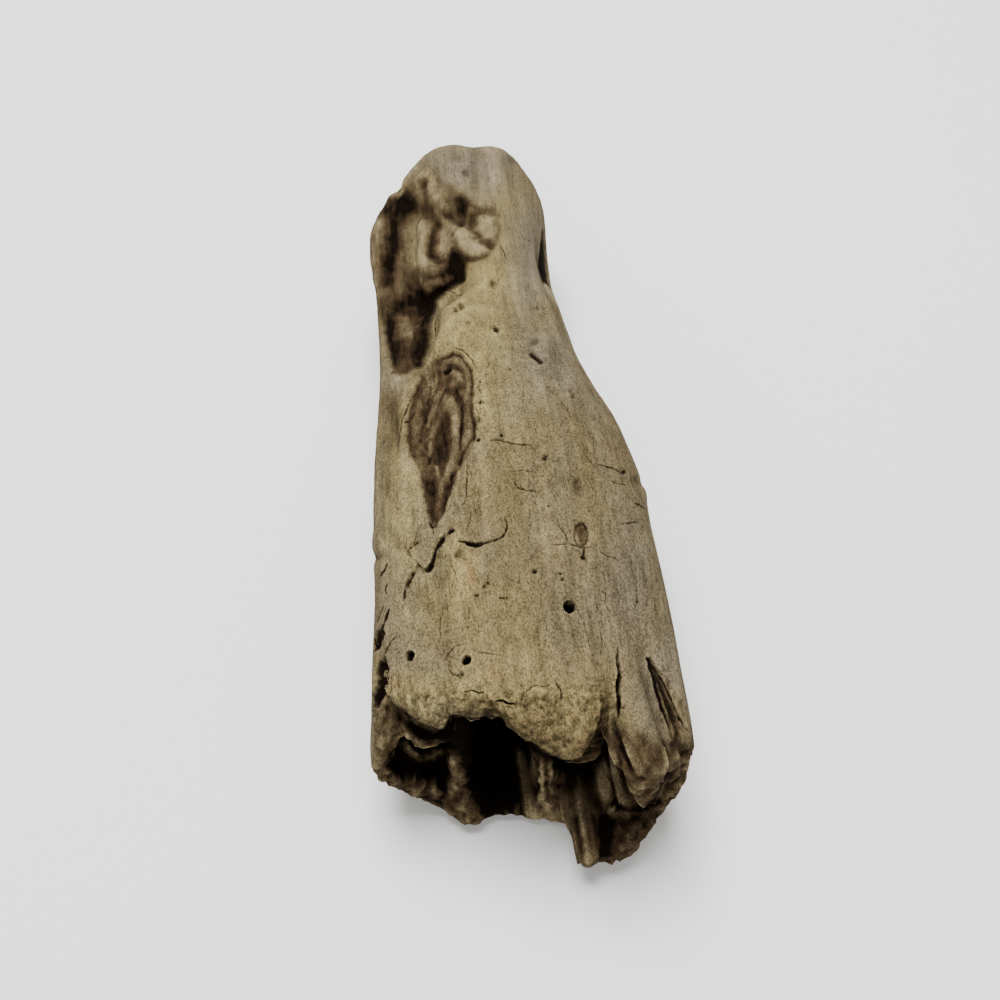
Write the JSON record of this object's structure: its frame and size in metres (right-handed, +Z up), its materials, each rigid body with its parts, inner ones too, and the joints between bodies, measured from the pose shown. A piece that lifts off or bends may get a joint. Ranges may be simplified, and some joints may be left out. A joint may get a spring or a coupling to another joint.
{
  "type": "driftwood piece",
  "caption": "Weathered piece of driftwood, wide and hollow at its broken end, narrower and knotty at its worn end.",
  "frame": {"origin": "centre of the bounding box, at the level of the surface that the piece lies on", "axes": "+Y along the grain, from the broken, hollow end to the worn, knotty end; +Z up"},
  "size_m": [0.072, 0.2156, 0.0543],
  "materials": {
    "weathered_wood": "dry, sand-worn, matt bare wood"
  },
  "bodies": {
    "root": {"driftwood": "weathered_wood"}
  },
  "joints": []
}
